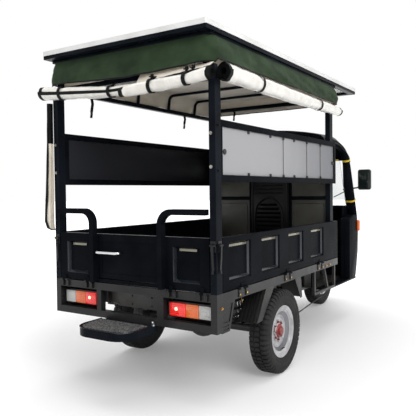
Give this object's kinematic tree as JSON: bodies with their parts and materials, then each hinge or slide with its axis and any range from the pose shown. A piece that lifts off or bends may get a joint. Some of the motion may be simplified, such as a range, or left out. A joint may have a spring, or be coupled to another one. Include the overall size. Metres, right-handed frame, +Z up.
{
  "type": "cargo auto rickshaw",
  "caption": "Three-wheeled cargo auto rickshaw: drop-side bed under a canopy with rolled curtains, open cab, steered front wheel, hinged tailgate and side gates.",
  "frame": {"origin": "on the ground under the middle of the whole vehicle", "axes": "+X forward, +Y to the vehicle's left, +Z up"},
  "size_m": [3.5828, 1.396, 2.079],
  "materials": {
    "black_powder_coat": "gloss",
    "chassis_paint": "satin",
    "bright_steel": "polished",
    "rim_paint": "satin",
    "tyre_rubber": "matte",
    "roof_sheet": "satin",
    "green_canvas": "matte",
    "clear_curtain": "gloss",
    "curtain_cloth": "matte",
    "seat_leather": "satin",
    "lamp_lens": "gloss",
    "black_plastic": "matte",
    "screen_glass": "gloss",
    "cast_alloy": "cast"
  },
  "bodies": {
    "chassis": {"chassis_frame": "chassis_paint", "leaf_springs": "chassis_paint", "rear_axle": "chassis_paint", "drive_motor": "cast_alloy", "battery_box": "black_plastic", "bed_floor": "black_powder_coat", "bed_rails": "black_powder_coat", "lamp_frame": "black_powder_coat", "tail_lamps": "lamp_lens", "rear_step": "black_plastic", "rear_mudguards": "chassis_paint", "side_guards": "chassis_paint", "gate_latches": "bright_steel", "canopy_posts": "black_powder_coat", "canopy_frame": "black_powder_coat", "roof_panel": "roof_sheet", "roof_edge": "chassis_paint", "valance": "green_canvas", "curtain_rolls": "clear_curtain", "curtain_gathered": "curtain_cloth", "side_panels": "black_powder_coat", "bulkhead": "black_powder_coat", "bulkhead_moulding": "black_plastic", "cab_frame": "black_powder_coat", "cab_roof": "black_powder_coat", "windscreen": "screen_glass", "front_fairing": "black_powder_coat", "cab_floor": "chassis_paint", "driver_seat": "seat_leather", "front_lamps": "screen_glass", "mirrors": "black_plastic"},
    "steering": {"fork": "chassis_paint", "handlebar": "black_plastic", "front_mudguard": "black_powder_coat"},
    "front_wheel": {"tyre_front": "tyre_rubber", "rim_front": "rim_paint"},
    "rear_wheel_left": {"tyre_rear_left": "tyre_rubber", "rim_rear_left": "rim_paint"},
    "rear_wheel_right": {"tyre_rear_right": "tyre_rubber", "rim_rear_right": "rim_paint"},
    "tailgate_body": {"tailgate": "black_powder_coat", "grab_rails": "black_powder_coat"},
    "door": {"rear_door": "black_powder_coat", "door_handle": "bright_steel"},
    "left_gate": {"side_gate_left": "black_powder_coat"},
    "right_gate": {"side_gate_right": "black_powder_coat"}
  },
  "joints": [
    {"name": "steering_head", "type": "hinge", "parent": "chassis", "child": "steering", "pos_m": [1.4385, 0, 0.2725], "axis": [-0.454, 0, 0.891], "range_deg": [-35, 35]},
    {"name": "front_wheel_spin", "type": "hinge", "parent": "steering", "child": "front_wheel", "pos_m": [1.4795, 0, 0.2725], "axis": [0, 1, 0], "continuous": true},
    {"name": "rear_wheel_left_spin", "type": "hinge", "parent": "chassis", "child": "rear_wheel_left", "pos_m": [-0.7185, 0.565, 0.2725], "axis": [0, 1, 0], "continuous": true},
    {"name": "rear_wheel_right_spin", "type": "hinge", "parent": "chassis", "child": "rear_wheel_right", "pos_m": [-0.7185, -0.565, 0.2725], "axis": [0, 1, 0], "continuous": true},
    {"name": "tailgate_hinge", "type": "hinge", "parent": "chassis", "child": "tailgate_body", "pos_m": [-1.5335, 0, 0.642], "axis": [0, -1, 0], "range_deg": [0, 90]},
    {"name": "door_hinge", "type": "hinge", "parent": "tailgate_body", "child": "door", "pos_m": [-1.5295, -0.237, 0.79], "axis": [0, 0, -1], "range_deg": [-100, 0]},
    {"name": "left_gate_hinge", "type": "hinge", "parent": "chassis", "child": "left_gate", "pos_m": [-0.5585, 0.624, 0.642], "axis": [-1, 0, 0], "range_deg": [0, 175]},
    {"name": "right_gate_hinge", "type": "hinge", "parent": "chassis", "child": "right_gate", "pos_m": [-0.5585, -0.624, 0.642], "axis": [1, 0, 0], "range_deg": [0, 175]}
  ]
}
